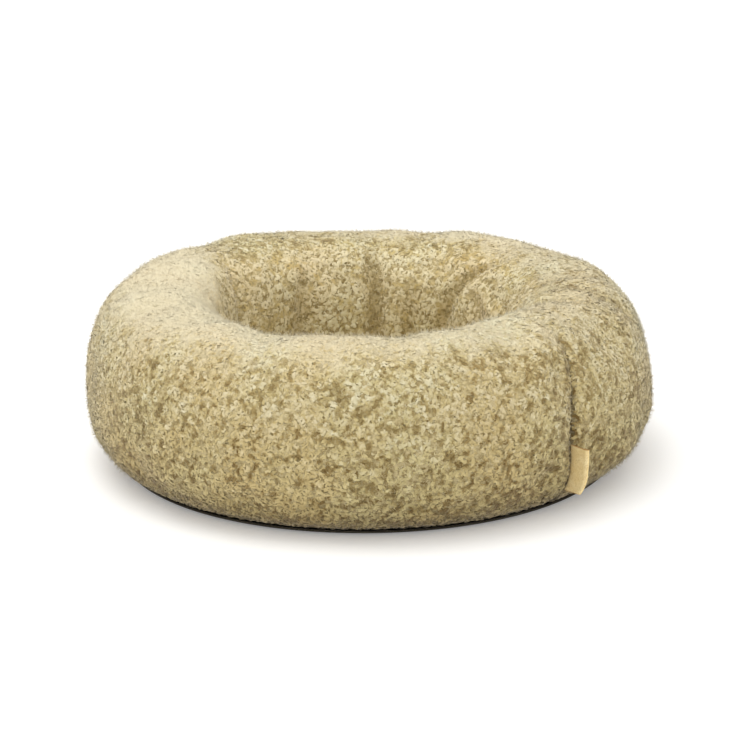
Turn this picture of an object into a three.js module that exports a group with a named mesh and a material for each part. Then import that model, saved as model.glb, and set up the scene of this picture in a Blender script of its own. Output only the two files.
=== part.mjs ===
// Round plush dog bed: a filled ring around a filled floor cushion, on a base panel, with one folded tab.
// Millimetres and +Z up. Azimuth 0 is the front, towards -Y, and grows towards +X.
// A section angle of 0 is the ring's outer side, 90 its crown and 180 its side towards the hollow.
import * as THREE from 'three';

// The ring's section
const RING_RADIUS = 250;
const RING_HEIGHT = 158;
const WIDEST_HEIGHT = 66;
const OUTER_HALF = 66;
const INNER_HALF = 58;
const UNDER_SINK = 2.2;
const CROWN_SQUARENESS = 2.25;
const HOLLOW_SQUARENESS = 3.2;
const UNDER_SQUARENESS = 2.35;

// How finely the round pieces are divided, in degrees
const COLUMN_STEP = 3;
const ROW_STEP = 11.25;

// A plain column nearer to the seam than this share of a step is left out
const SEAM_ROOM = 0.7;

// Clear space left between two pieces that touch in the real bed
const GAP = 0.3;

// The closing seam across the ring
const SEAM_AZIMUTH = 44.4;
const SEAM_LEAN = 4.6;
const SEAM_REACH = 12;
const SEAM_DEPTH = 2.5;
const SEAM_HALF_WIDTH = 0.9;
const SEAM_FLATNESS = 4;
const SEAM_COLUMNS = [-1.2, -0.44, 0.44, 1.2];
const SEAM_END = 200;

// Fullness and folds start above this height, so that the underside stays flat
const FLAT_BELOW = 14;
const FULL_ABOVE = 44;

// The base panel
const PANEL_THICKNESS = 2;
const PANEL_RIM = [
  { radius: 211.5, height: 0 },
  { radius: 216, height: 1.2 },
  { radius: 218.2, height: 2.6 },
  { radius: 217.2, height: 4 },
  { radius: 213.4, height: PANEL_THICKNESS },
];
const UNDERSIDE_HEIGHT = PANEL_THICKNESS + GAP;

// The floor cushion: the rows that follow the ring's wall, then its own crown
const CUSHION_FOOT_RADIUS = 143.5;
const CUSHION_WALL_ANGLES = [236.25, 225, 213.75];
const CUSHION_HEIGHT = 47;
const CUSHION_CROWN_SHARES = [0.89, 0.8, 0.67, 0.5, 0.32, 0.14];
const CUSHION_SQUARENESS = 2.6;
const CUSHION_WAVE = 1.1;
const CUSHION_WAVES_AROUND = 5;
const CUSHION_WAVE_TWIST = 200;

// The folded tab in the seam
const TAB_TOP = 64.5;
const TAB_BOTTOM = 21.5;
const TAB_TOP_REACH = 19;
const TAB_BOTTOM_REACH = 16.5;
const TAB_LAYER = 1.2;
const TAB_ROOT_HALF = 1.5;
const TAB_FOLD_HALF = 2.2;
const TAB_ROOT_GAP = 0.35;
const TAB_FOLD_STEPS = 6;

// Places where the filling stands out or falls in: centre, spread and height
const FULLNESS = [
  { azimuth: -120, spread: 42, section: 80, reach: 50, height: 6.5 },
  { azimuth: 180, spread: 35, section: 90, reach: 40, height: -3.5 },
  { azimuth: -90, spread: 40, section: 0, reach: 50, height: -3 },
  { azimuth: 6, spread: 46, section: 105, reach: 45, height: 4.5 },
  { azimuth: -75, spread: 35, section: 150, reach: 40, height: 2 },
  { azimuth: 75, spread: 35, section: 160, reach: 40, height: 2 },
  { azimuth: 74, spread: 32, section: -31, reach: 18, height: 6.5 },
];

// Slow waves of the filling around the ring and around its section
const WAVES = [
  { height: 0.9, around: 7, across: 1, start: 20 },
  { height: 0.8, around: 11, across: -2, start: 75 },
  { height: 0.6, around: 17, across: 3, start: 140 },
  { height: 0.4, around: 23, across: -3, start: 10 },
];

// Folds gathered by the floor seam: azimuth where each starts on the crown and where it ends low down
const GATHERS = [
  { high: 179, low: 176, depth: 9, halfWidth: 8, from: 112 },
  { high: 125, low: 157, depth: 7, halfWidth: 8, from: 100 },
  { high: 158, low: 164, depth: 3.5, halfWidth: 7, from: 125 },
  { high: 98, low: 106, depth: 4, halfWidth: 8, from: 120 },
  { high: 66, low: 72, depth: 4, halfWidth: 8, from: 125 },
  { high: 20, low: 24, depth: 5, halfWidth: 8, from: 120 },
  { high: -18, low: -14, depth: 4, halfWidth: 8, from: 125 },
  { high: -58, low: -52, depth: 5, halfWidth: 8, from: 120 },
  { high: -98, low: -90, depth: 4, halfWidth: 8, from: 115 },
  { high: -125, low: -114, depth: 6.5, halfWidth: 8, from: 98 },
  { high: -157, low: -148, depth: 3.5, halfWidth: 7, from: 122 },
];
const GATHER_END = 206;
const GATHER_RISE = 0.3;
const GATHER_FALL = 0.2;

// Shallow folds that cross the crown behind the seam
const CROWN_FOLDS = [
  { high: 71, low: 77, depth: 1.5, halfWidth: 7, from: 56 },
  { high: 83, low: 85, depth: 2.4, halfWidth: 8.5, from: 40 },
  { high: 98, low: 92, depth: 1.8, halfWidth: 7.5, from: 60 },
];
const CROWN_FOLD_END = 128;

const LOOKS = {
  plush: { color: 0xb7a57b, roughness: 0.95, metalness: 0 },
  floor: { color: 0xb09e75, roughness: 0.95, metalness: 0 },
  panel: { color: 0x3a3835, roughness: 0.85, metalness: 0 },
  tab: { color: 0xcfb07a, roughness: 0.6, metalness: 0 },
};

const radians = THREE.MathUtils.degToRad;

function signedPower(value, power) {
  return Math.sign(value) * Math.abs(value) ** power;
}

// Shortest turn from one azimuth to another, in degrees
function turn(from, to) {
  return ((to - from + 540) % 360 + 360) % 360 - 180;
}

function bell(distance, spread) {
  return Math.exp(-((distance / spread) ** 2));
}

function share(value, low, high) {
  return THREE.MathUtils.clamp((value - low) / (high - low), 0, 1);
}

// Radius and height of the smooth section
function sectionPoint(section) {
  const across = Math.cos(radians(section));
  const up = Math.sin(radians(section));
  const crown = across > 0 ? CROWN_SQUARENESS : HOLLOW_SQUARENESS;
  const power = 2 / (up > 0 ? crown : UNDER_SQUARENESS);
  const half = across > 0 ? OUTER_HALF : INNER_HALF;
  const rise = up > 0 ? RING_HEIGHT - WIDEST_HEIGHT : WIDEST_HEIGHT + UNDER_SINK;
  const radius = RING_RADIUS - OUTER_HALF + half * signedPower(across, power);
  const height = WIDEST_HEIGHT + rise * signedPower(up, power);
  return { radius, height: Math.max(height, UNDERSIDE_HEIGHT) };
}

// Unit direction that points out of the section
function sectionNormal(section) {
  const before = sectionPoint(section - 1);
  const after = sectionPoint(section + 1);
  const radial = after.height - before.height;
  const vertical = before.radius - after.radius;
  const length = Math.hypot(radial, vertical);
  return { radial: radial / length, vertical: vertical / length };
}

function seamAzimuth(section) {
  return SEAM_AZIMUTH + SEAM_LEAN * Math.max(0, Math.sin(radians(section)));
}

// How far one fold pulls the cover in at a place on the ring
function foldPull(fold, end, azimuth, section, radius) {
  const along = (section - fold.from) / (end - fold.from);
  if (along <= 0 || along >= 1) {
    return 0;
  }
  const centre = fold.high + (fold.low - fold.high) * along;
  const distance = radians(turn(centre, azimuth)) * radius;
  const strength = Math.min(1, along / GATHER_RISE, (1 - along) / GATHER_FALL);
  return fold.depth * strength * bell(distance, fold.halfWidth);
}

// The seam's groove runs from the ring's outer side over the crown and ends at the floor cushion
function seamPull(azimuth, section) {
  if (section > SEAM_END && section < 270) {
    return 0;
  }
  const away = turn(seamAzimuth(section), azimuth);
  return SEAM_DEPTH * Math.exp(-((away / SEAM_HALF_WIDTH) ** SEAM_FLATNESS));
}

function waveHeight(wave, azimuth, section) {
  return wave.height * Math.sin(radians(wave.around * azimuth + wave.across * section + wave.start));
}

function fullnessHeight(place, azimuth, section) {
  const around = bell(turn(place.azimuth, azimuth), place.spread);
  return place.height * around * bell(turn(place.section, section), place.reach);
}

// How far the cover stands out from the smooth section, negative where it is drawn in
function standOut(azimuth, section, radius) {
  let height = 0;
  for (const place of FULLNESS) {
    height += fullnessHeight(place, azimuth, section);
  }
  for (const wave of WAVES) {
    height += waveHeight(wave, azimuth, section);
  }
  for (const fold of GATHERS) {
    height -= foldPull(fold, GATHER_END, azimuth, section, radius);
  }
  for (const fold of CROWN_FOLDS) {
    height -= foldPull(fold, CROWN_FOLD_END, azimuth, section, radius);
  }
  return height - seamPull(azimuth, section);
}

function placeAt(azimuth, radius, height) {
  return [radius * Math.sin(radians(azimuth)), -radius * Math.cos(radians(azimuth)), height];
}

// Section angle between 0 and 360 so that folds are found on every row
function wrapped(section) {
  return ((section % 360) + 360) % 360;
}

// Columns near the seam lean with it
function leaning(azimuth, section) {
  const lean = seamAzimuth(section) - SEAM_AZIMUTH;
  return azimuth + lean * bell(turn(SEAM_AZIMUTH, azimuth), SEAM_REACH);
}

// Radius and height of the ring's cover, moved out by a clearance
function coverPoint(azimuth, section, clearance) {
  const base = sectionPoint(section);
  const normal = sectionNormal(section);
  const free = share(base.height, FLAT_BELOW, FULL_ABOVE);
  const out = free * standOut(azimuth, wrapped(section), base.radius) + clearance;
  return { radius: base.radius + normal.radial * out, height: base.height + normal.vertical * out };
}

function ringPoint(azimuth, section, clearance) {
  const leaned = leaning(azimuth, section);
  const cover = coverPoint(leaned, section, clearance);
  return placeAt(leaned, cover.radius, cover.height);
}

// Azimuths of the columns that all round pieces share
function columnAzimuths() {
  const azimuths = SEAM_COLUMNS.map((away) => SEAM_AZIMUTH + away);
  for (let azimuth = 0; azimuth < 360; azimuth += COLUMN_STEP) {
    if (Math.abs(turn(SEAM_AZIMUTH, azimuth)) > COLUMN_STEP * SEAM_ROOM) {
      azimuths.push(azimuth);
    }
  }
  return azimuths.sort((a, b) => a - b);
}

function rowSections() {
  const sections = [];
  for (let section = -90; section < 270; section += ROW_STEP) {
    sections.push(section);
  }
  return sections;
}

function solid(name, points, triangles, look) {
  const geometry = new THREE.BufferGeometry();
  geometry.setAttribute('position', new THREE.Float32BufferAttribute(points.flat(), 3));
  geometry.setIndex(triangles);
  geometry.computeVertexNormals();
  const mesh = new THREE.Mesh(geometry, new THREE.MeshStandardMaterial(look));
  mesh.name = name;
  return mesh;
}

// Two triangles for each field between neighbouring columns and rows
function fields(columns, rows, closed) {
  const triangles = [];
  const bands = closed ? rows : rows - 1;
  for (let column = 0; column < columns; column += 1) {
    const here = column * rows;
    const next = ((column + 1) % columns) * rows;
    for (let row = 0; row < bands; row += 1) {
      const above = (row + 1) % rows;
      triangles.push(here + row, next + row, next + above);
      triangles.push(here + row, next + above, here + above);
    }
  }
  return triangles;
}

function makeBolster() {
  const azimuths = columnAzimuths();
  const sections = rowSections();
  const points = azimuths.flatMap((azimuth) => sections.map((section) => ringPoint(azimuth, section, 0)));
  return solid('bolster', points, fields(azimuths.length, sections.length, true), LOOKS.plush);
}

// A solid of round rows between a point below and a point above
function makeRound(name, rowsAt, lowest, highest, look) {
  const azimuths = columnAzimuths();
  const columns = azimuths.map(rowsAt);
  const rows = columns[0].length;
  const points = columns.flat();
  const triangles = fields(azimuths.length, rows, false);
  const below = points.push([0, 0, lowest]) - 1;
  const above = points.push([0, 0, highest]) - 1;
  for (let column = 0; column < azimuths.length; column += 1) {
    const here = column * rows;
    const next = ((column + 1) % azimuths.length) * rows;
    triangles.push(below, next, here);
    triangles.push(above, here + rows - 1, next + rows - 1);
  }
  return solid(name, points, triangles, look);
}

// A place on the floor cushion's crown, with its slow waves, at a share of the way to its edge
function cushionPoint(azimuth, part, edge) {
  const crown = (1 - part ** CUSHION_SQUARENESS) ** (1 / CUSHION_SQUARENESS);
  const phase = CUSHION_WAVES_AROUND * azimuth + CUSHION_WAVE_TWIST * part;
  const wave = CUSHION_WAVE * part * Math.sin(radians(phase));
  const height = edge.height + (CUSHION_HEIGHT - edge.height) * crown + wave;
  return placeAt(azimuth, edge.radius * part, height);
}

function cushionColumn(azimuth) {
  const foot = placeAt(azimuth, CUSHION_FOOT_RADIUS, UNDERSIDE_HEIGHT);
  const wall = CUSHION_WALL_ANGLES.map((section) => ringPoint(azimuth, section, GAP));
  const edge = coverPoint(azimuth, CUSHION_WALL_ANGLES.at(-1), GAP);
  const crown = CUSHION_CROWN_SHARES.map((part) => cushionPoint(azimuth, part, edge));
  return [foot, ...wall, ...crown];
}

function panelColumn(azimuth) {
  return PANEL_RIM.map((point) => placeAt(azimuth, point.radius, point.height));
}

// Rows of the ring's groove that the tab follows, from low to high
function grooveRows() {
  const azimuth = SEAM_AZIMUTH + SEAM_COLUMNS[2];
  return rowSections().filter((section) => section <= 0).map((section) => coverPoint(azimuth, section, 0));
}

function grooveRadius(rows, height) {
  const upper = rows.findIndex((row) => row.height >= height);
  const high = rows[upper];
  const low = rows[upper - 1];
  return THREE.MathUtils.mapLinear(height, low.height, high.height, low.radius, high.radius);
}

function tabHeights(rows) {
  const between = rows.map((row) => row.height).filter((height) => height > TAB_BOTTOM && height < TAB_TOP);
  return [TAB_BOTTOM, ...between, TAB_TOP];
}

// Half circle at the fold, from one layer to the other
function foldArc(reach, half, towards) {
  const points = [];
  for (let step = 0; step <= TAB_FOLD_STEPS; step += 1) {
    const angle = towards * (90 - (180 * step) / TAB_FOLD_STEPS);
    points.push([reach + half * Math.cos(radians(angle)), half * Math.sin(radians(angle))]);
  }
  return points;
}

// Plan of the folded strip: outwards and sideways from its root
function tabOutline(reach) {
  const centre = reach - TAB_FOLD_HALF;
  const slit = TAB_ROOT_HALF - TAB_LAYER;
  const outside = foldArc(centre, TAB_FOLD_HALF, -1);
  const inside = foldArc(centre, TAB_FOLD_HALF - TAB_LAYER, 1);
  return [[0, -TAB_ROOT_HALF], ...outside, [0, TAB_ROOT_HALF], [0, slit], ...inside, [0, -slit]];
}

function tabPoint(corner, root, height) {
  const [outwards, sideways] = corner;
  const radial = placeAt(SEAM_AZIMUTH, root + outwards, height);
  const side = placeAt(SEAM_AZIMUTH + 90, sideways, 0);
  return [radial[0] + side[0], radial[1] + side[1], height];
}

function makeTab() {
  const rows = grooveRows();
  const levels = tabHeights(rows).map((height) => {
    const root = grooveRadius(rows, height) + TAB_ROOT_GAP;
    const reach = THREE.MathUtils.mapLinear(height, TAB_BOTTOM, TAB_TOP, TAB_BOTTOM_REACH, TAB_TOP_REACH);
    return tabOutline(reach).map((corner) => tabPoint(corner, root, height));
  });
  const corners = levels[0].length;
  const points = tabColumns(levels);
  const triangles = fields(corners, levels.length, false);
  const plan = tabOutline(TAB_TOP_REACH).map(([outwards, sideways]) => new THREE.Vector2(outwards, sideways));
  const top = levels.length - 1;
  for (const [a, b, c] of THREE.ShapeUtils.triangulateShape(plan, [])) {
    triangles.push(a * levels.length, c * levels.length, b * levels.length);
    triangles.push(a * levels.length + top, b * levels.length + top, c * levels.length + top);
  }
  return solid('label_tab', points, triangles, LOOKS.tab);
}

// Points of all levels, one column for each corner of the outline
function tabColumns(levels) {
  return levels[0].flatMap((_, corner) => levels.map((level) => level[corner]));
}

const bed = new THREE.Group();
bed.name = 'dog_bed';
bed.add(makeBolster());
bed.add(makeRound('floor_cushion', cushionColumn, UNDERSIDE_HEIGHT, CUSHION_HEIGHT, LOOKS.floor));
bed.add(makeRound('base_panel', panelColumn, 0, PANEL_THICKNESS, LOOKS.panel));
bed.add(makeTab());

export default bed;
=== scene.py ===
"""Looks of the round plush dog bed: curly pile on a filled ring and floor, base cloth and leather tab.

Metres in the scene, millimetres in the shape formulas. Azimuth 0 is the front, towards -Y, and grows
towards +X. A section angle of 0 is the ring's outer side, 90 its crown, 180 its side to the hollow.
"""
import math

import bpy
import numpy as np
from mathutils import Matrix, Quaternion, Vector


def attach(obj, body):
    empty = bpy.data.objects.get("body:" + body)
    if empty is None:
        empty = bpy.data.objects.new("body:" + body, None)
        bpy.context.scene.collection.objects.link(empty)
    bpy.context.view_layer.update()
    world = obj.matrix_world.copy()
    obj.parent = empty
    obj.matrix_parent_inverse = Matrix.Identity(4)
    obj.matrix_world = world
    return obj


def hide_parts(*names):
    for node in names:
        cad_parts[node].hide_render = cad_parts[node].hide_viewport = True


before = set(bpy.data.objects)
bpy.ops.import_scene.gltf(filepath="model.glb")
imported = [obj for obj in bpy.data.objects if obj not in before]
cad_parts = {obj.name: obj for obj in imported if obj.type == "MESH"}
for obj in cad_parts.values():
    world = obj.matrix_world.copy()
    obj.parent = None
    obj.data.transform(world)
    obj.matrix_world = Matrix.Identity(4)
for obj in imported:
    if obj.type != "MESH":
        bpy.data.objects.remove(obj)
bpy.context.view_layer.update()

MM = 0.001
SKIN_SEED = 41
PILE_SEED = 7
FUZZ_SEED = 23
FLOOR_SEED = 11
RANDOM = np.random.default_rng(SKIN_SEED)

# The ring's section, as in the part's source
RING_RADIUS = 250.0
RING_HEIGHT = 158.0
WIDEST_HEIGHT = 66.0
OUTER_HALF = 66.0
INNER_HALF = 58.0
UNDER_SINK = 2.2
CROWN_SQUARENESS = 2.25
HOLLOW_SQUARENESS = 3.2
UNDER_SQUARENESS = 2.35
UNDERSIDE_HEIGHT = 2.3
FLAT_BELOW = 14.0
FULL_ABOVE = 44.0

# The closing seam
SEAM_AZIMUTH = 44.4
SEAM_LEAN = 4.6
SEAM_END = 200.0
SEAM_DEPTH = 2.8
SEAM_HALF_WIDTH = 2.4
SEAM_VALLEY_DEPTH = 1.2
SEAM_VALLEY_WIDTH = 11.0
SEAM_CLOSED_SHARE = 0.4
SEAM_FADE_FROM = 92.0
SEAM_FADE_TO = 30.0

# azimuth, spread, section, reach, height
FULLNESS = [
    (-120, 42, 80, 50, 6.5),
    (180, 35, 90, 40, -3.5),
    (-90, 40, 0, 50, -3.0),
    (6, 46, 105, 45, 4.5),
    (-75, 35, 150, 40, 2.0),
    (75, 35, 160, 40, 2.0),
    (74, 32, -31, 18, 6.5),
]

# height, waves around, waves across, start
WAVES = [(0.9, 7, 1, 20), (0.8, 11, -2, 75), (0.6, 17, 3, 140), (0.4, 23, -3, 10)]

# azimuth high up, azimuth low down, depth, half width, first section angle
GATHERS = [
    (179, 176, 9.0, 8.0, 112),
    (125, 157, 7.0, 8.0, 100),
    (158, 164, 3.5, 7.0, 125),
    (98, 106, 4.0, 8.0, 120),
    (66, 72, 4.0, 8.0, 125),
    (20, 24, 5.0, 8.0, 120),
    (-18, -14, 4.0, 8.0, 125),
    (-58, -52, 5.0, 8.0, 120),
    (-98, -90, 4.0, 8.0, 115),
    (-125, -114, 6.5, 8.0, 98),
    (-157, -148, 3.5, 7.0, 122),
]
GATHER_END = 206.0
CROWN_FOLDS = [(71, 77, 1.5, 7.0, 56), (83, 85, 2.4, 8.5, 40), (98, 92, 1.8, 7.5, 60)]
CROWN_FOLD_END = 128.0
FOLD_RISE = 0.3
FOLD_FALL = 0.2

# The floor cushion
CUSHION_FOOT_RADIUS = 143.5
CUSHION_EDGE_SECTION = 213.75
CUSHION_HEIGHT = 47.0
CUSHION_SQUARENESS = 2.6
CUSHION_WAVE = 1.1
CUSHION_WAVES_AROUND = 5.0
CUSHION_WAVE_TWIST = 200.0
GAP = 0.3


# Shape of the ring

def signed_power(value, power):
    return np.sign(value) * np.abs(value) ** power


def turn(start, end):
    return (end - start + 540.0) % 360.0 - 180.0


def bell(distance, spread):
    return np.exp(-((distance / spread) ** 2))


def section_point(section):
    """Radius and height of the smooth section, in millimetres."""
    across, up = np.cos(np.radians(section)), np.sin(np.radians(section))
    crown = np.where(across > 0, CROWN_SQUARENESS, HOLLOW_SQUARENESS)
    power = 2.0 / np.where(up > 0, crown, UNDER_SQUARENESS)
    half = np.where(across > 0, OUTER_HALF, INNER_HALF)
    rise = np.where(up > 0, RING_HEIGHT - WIDEST_HEIGHT, WIDEST_HEIGHT + UNDER_SINK)
    radius = RING_RADIUS - OUTER_HALF + half * signed_power(across, power)
    height = WIDEST_HEIGHT + rise * signed_power(up, power)
    return radius, np.maximum(height, UNDERSIDE_HEIGHT)


def section_normal(section):
    r0, z0 = section_point(section - 1.0)
    r1, z1 = section_point(section + 1.0)
    radial, vertical = z1 - z0, r0 - r1
    length = np.hypot(radial, vertical)
    return radial / length, vertical / length


def seam_azimuth(section):
    return SEAM_AZIMUTH + SEAM_LEAN * np.maximum(0.0, np.sin(np.radians(section)))


def fold_pull(fold, end, azimuth, section, radius):
    high, low, depth, half_width, start = fold
    along = (section - start) / (end - start)
    centre = high + (low - high) * along
    distance = np.radians(turn(centre, azimuth)) * radius
    strength = np.minimum(1.0, np.minimum(along / FOLD_RISE, (1.0 - along) / FOLD_FALL))
    return depth * np.clip(strength, 0.0, 1.0) * bell(distance, half_width)


def seam_distance(azimuth, section):
    """Millimetres from the closing seam, measured around the ring."""
    radius, _ = section_point(section)
    return np.radians(turn(seam_azimuth(section), azimuth)) * radius


def seam_clearness(section):
    """1 where the seam shows as a parted line, less on the crown, where the pile closes over it."""
    shown = np.clip((SEAM_FADE_FROM - section) / (SEAM_FADE_FROM - SEAM_FADE_TO), 0.0, 1.0)
    return np.where(section > 270.0, 1.0, shown)


def seam_pull(azimuth, section):
    away = seam_distance(azimuth, section)
    groove = SEAM_DEPTH * bell(away, SEAM_HALF_WIDTH) + SEAM_VALLEY_DEPTH * bell(away, SEAM_VALLEY_WIDTH)
    hidden = (section > SEAM_END) & (section < 270.0)
    share = SEAM_CLOSED_SHARE + (1.0 - SEAM_CLOSED_SHARE) * seam_clearness(section)
    return np.where(hidden, 0.0, groove * share)


def stand_out(azimuth, section, radius):
    height = np.zeros(np.broadcast(azimuth, section).shape)
    for place, spread, middle, reach, rise in FULLNESS:
        height += rise * bell(turn(place, azimuth), spread) * bell(turn(middle, section), reach)
    for rise, around, across, start in WAVES:
        height += rise * np.sin(np.radians(around * azimuth + across * section + start))
    for fold in GATHERS:
        height -= fold_pull(fold, GATHER_END, azimuth, section, radius)
    for fold in CROWN_FOLDS:
        height -= fold_pull(fold, CROWN_FOLD_END, azimuth, section, radius)
    return height - seam_pull(azimuth, section)


def place_at(azimuth, radius, height):
    angle = np.radians(azimuth)
    return np.stack([radius * np.sin(angle), -radius * np.cos(angle), height], axis=-1)


class Puckers:
    """What the cloth simulation adds to the smooth ring, read at any place of its cover."""

    def __init__(self, table):
        self.table = table

    def at(self, azimuth, section):
        columns, rows = self.table.shape
        x = (azimuth % 360.0) / 360.0 * columns
        y = (section % 360.0) / 360.0 * rows
        i, j = np.floor(x).astype(int), np.floor(y).astype(int)
        fx, fy = x - i, y - j
        near = self.table[i % columns, j % rows] * (1 - fx) + self.table[(i + 1) % columns, j % rows] * fx
        far = self.table[i % columns, (j + 1) % rows] * (1 - fx)
        far = far + self.table[(i + 1) % columns, (j + 1) % rows] * fx
        return near * (1 - fy) + far * fy


def ring_place(azimuth, section, out, puckers=None):
    """Point on the ring's cover, moved out by `out`, in millimetres."""
    section = np.asarray(section, float) % 360.0
    radius, height = section_point(section)
    radial, vertical = section_normal(section)
    free = np.clip((height - FLAT_BELOW) / (FULL_ABOVE - FLAT_BELOW), 0.0, 1.0)
    extra = stand_out(azimuth, section, radius)
    if puckers is not None:
        extra = extra + puckers.at(azimuth, section)
    move = free * extra + out
    return place_at(azimuth, radius + radial * move, height + vertical * move)


AROUND_STEP = 0.6
SECTION_STEP = 1.2


def unit(vectors):
    return vectors / np.linalg.norm(vectors, axis=-1, keepdims=True)


def ring_frame(azimuth, section, out, puckers=None):
    """Points with two directions along the cover and one out of it."""
    here = ring_place(azimuth, section, out, puckers)
    after = ring_place(azimuth + AROUND_STEP, section, out, puckers)
    before = ring_place(azimuth - AROUND_STEP, section, out, puckers)
    above = ring_place(azimuth, section + SECTION_STEP, out, puckers)
    below = ring_place(azimuth, section - SECTION_STEP, out, puckers)
    around = unit(after - before)
    normal = unit(np.cross(around, above - below))
    return here, around, np.cross(normal, around), normal


# Repeatable noise in the cover

# Large numbers that scatter the bits of a cell's place
CELL_SCATTER = (73856093, 19349663, 83492791)
SALT_SCATTER = 7919
LAST_SCATTER = 1274126177
FIRST_SHIFT = 13
LAST_SHIFT = 29
KEPT_BITS = 0xFFFFFF


def hashed(cells, salt):
    """A repeatable number from 0 to 1 for each whole-numbered cell of space."""
    bits = np.uint64(salt * SALT_SCATTER)
    for axis, scatter in enumerate(CELL_SCATTER):
        bits = bits ^ (cells[..., axis].astype(np.int64).astype(np.uint64) * np.uint64(scatter))
    bits = (bits ^ (bits >> np.uint64(FIRST_SHIFT))) * np.uint64(LAST_SCATTER)
    bits = bits ^ (bits >> np.uint64(LAST_SHIFT))
    return (bits & np.uint64(KEPT_BITS)).astype(float) / KEPT_BITS


def patches(points, size, salt):
    """Smooth noise from 0 to 1 with patches of about that size, in millimetres."""
    cells = np.floor(points / size)
    inside = points / size - cells
    inside = inside * inside * (3.0 - 2.0 * inside)
    total = np.zeros(points.shape[:-1])
    for corner in np.ndindex(2, 2, 2):
        weight = np.prod(np.where(corner, inside, 1.0 - inside), axis=-1)
        total += weight * hashed(cells + np.array(corner), salt)
    return total


TUFT_RIM = 0.45
TUFT_ROUND = 0.7


def nubs(points, size, salt):
    """Height from 0 to 1 of the rounded tufts of wool, and a number of its own for each tuft."""
    cells = np.floor(points / size)
    first = np.full(points.shape[:-1], np.inf)
    second = first.copy()
    own = np.zeros(points.shape[:-1])
    for corner in np.ndindex(3, 3, 3):
        cell = cells + np.array(corner) - 1.0
        middle = cell + np.stack([hashed(cell, salt + axis) for axis in range(3)], axis=-1)
        distance = np.linalg.norm(points / size - middle, axis=-1)
        nearer = distance < first
        second = np.where(nearer, first, np.minimum(second, distance))
        own = np.where(nearer, hashed(cell, salt + 5), own)
        first = np.where(nearer, distance, first)
    return np.clip((second - first) / TUFT_RIM, 0.0, 1.0) ** TUFT_ROUND, own


# Meshes

def grid_faces(columns, rows, closed_across):
    """Quads between neighbouring columns and rows, the columns closed into a ring."""
    bands = rows if closed_across else rows - 1
    i, j = np.meshgrid(np.arange(columns), np.arange(bands), indexing="ij")
    after, above = (i + 1) % columns, (j + 1) % rows
    quads = [i * rows + j, after * rows + j, after * rows + above, i * rows + above]
    return np.stack(quads, axis=-1).reshape(-1, 4)


def make_mesh(name, points, faces, material, attributes=None, normals=None):
    """A smooth-shaded mesh object from points in millimetres, with its own shading directions if given."""
    mesh = bpy.data.meshes.new(name)
    mesh.vertices.add(len(points))
    mesh.vertices.foreach_set("co", (np.asarray(points, np.float32) * MM).ravel())
    corners = faces.shape[1]
    mesh.loops.add(faces.size)
    mesh.loops.foreach_set("vertex_index", faces.astype(np.int32).ravel())
    mesh.polygons.add(len(faces))
    mesh.polygons.foreach_set("loop_start", np.arange(0, faces.size, corners, dtype=np.int32))
    mesh.update(calc_edges=True)
    mesh.validate()
    mesh.shade_smooth()
    for key, values in (attributes or {}).items():
        layer = mesh.attributes.new(key, "FLOAT", "POINT")
        layer.data.foreach_set("value", np.asarray(values, np.float32).ravel())
    if normals is not None:
        mesh.normals_split_custom_set_from_vertices(normals)
    mesh.materials.append(material)
    piece = bpy.data.objects.new(name, mesh)
    bpy.context.scene.collection.objects.link(piece)
    return piece


# Materials

def linear(red, green, blue):
    """Colour as seen on a screen, 0 to 255, turned into the renderer's linear values."""
    values = np.array([red, green, blue]) / 255.0
    low = values / 12.92
    high = ((values + 0.055) / 1.055) ** 2.4
    return (*np.where(values <= 0.04045, low, high).tolist(), 1.0)


def new_material(name, roughness, sheen, sheen_tint):
    material = bpy.data.materials.new(name)
    material.use_nodes = True
    shader = material.node_tree.nodes["Principled BSDF"]
    shader.inputs["Roughness"].default_value = roughness
    shader.inputs["Sheen Weight"].default_value = sheen
    shader.inputs["Sheen Roughness"].default_value = 0.45
    shader.inputs["Sheen Tint"].default_value = sheen_tint
    shader.inputs["Specular IOR Level"].default_value = 0.2
    return material, material.node_tree, shader


def ramp(tree, stops, factor):
    node = tree.nodes.new("ShaderNodeValToRGB")
    elements = node.color_ramp.elements
    while len(elements) < len(stops):
        elements.new(0.5)
    for element, (position, colour) in zip(elements, stops):
        element.position = position
        element.color = colour
    tree.links.new(factor, node.inputs["Fac"])
    return node.outputs["Color"]


def noise(tree, scale, detail, roughness=0.5):
    node = tree.nodes.new("ShaderNodeTexNoise")
    node.inputs["Scale"].default_value = scale
    node.inputs["Detail"].default_value = detail
    node.inputs["Roughness"].default_value = roughness
    place = tree.nodes.new("ShaderNodeTexCoord")
    tree.links.new(place.outputs["Object"], node.inputs["Vector"])
    return node.outputs["Fac"]


def mixed(tree, kind, factor, first, second):
    """A colour mix of two colour outputs, by a number or an output."""
    node = tree.nodes.new("ShaderNodeMix")
    node.data_type = "RGBA"
    node.blend_type = kind
    if isinstance(factor, float):
        node.inputs[0].default_value = factor
    else:
        tree.links.new(factor, node.inputs[0])
    tree.links.new(first, node.inputs[6])
    if isinstance(second, tuple):
        node.inputs[7].default_value = second
    else:
        tree.links.new(second, node.inputs[7])
    return node.outputs[2]


def attribute(tree, name):
    """What a mesh says of each point under this name."""
    node = tree.nodes.new("ShaderNodeAttribute")
    node.attribute_name = name
    return node.outputs["Fac"]


def bump(tree, shader, height, strength, distance):
    node = tree.nodes.new("ShaderNodeBump")
    node.inputs["Strength"].default_value = strength
    node.inputs["Distance"].default_value = distance
    tree.links.new(height, node.inputs["Height"])
    tree.links.new(node.outputs["Normal"], shader.inputs["Normal"])


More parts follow.
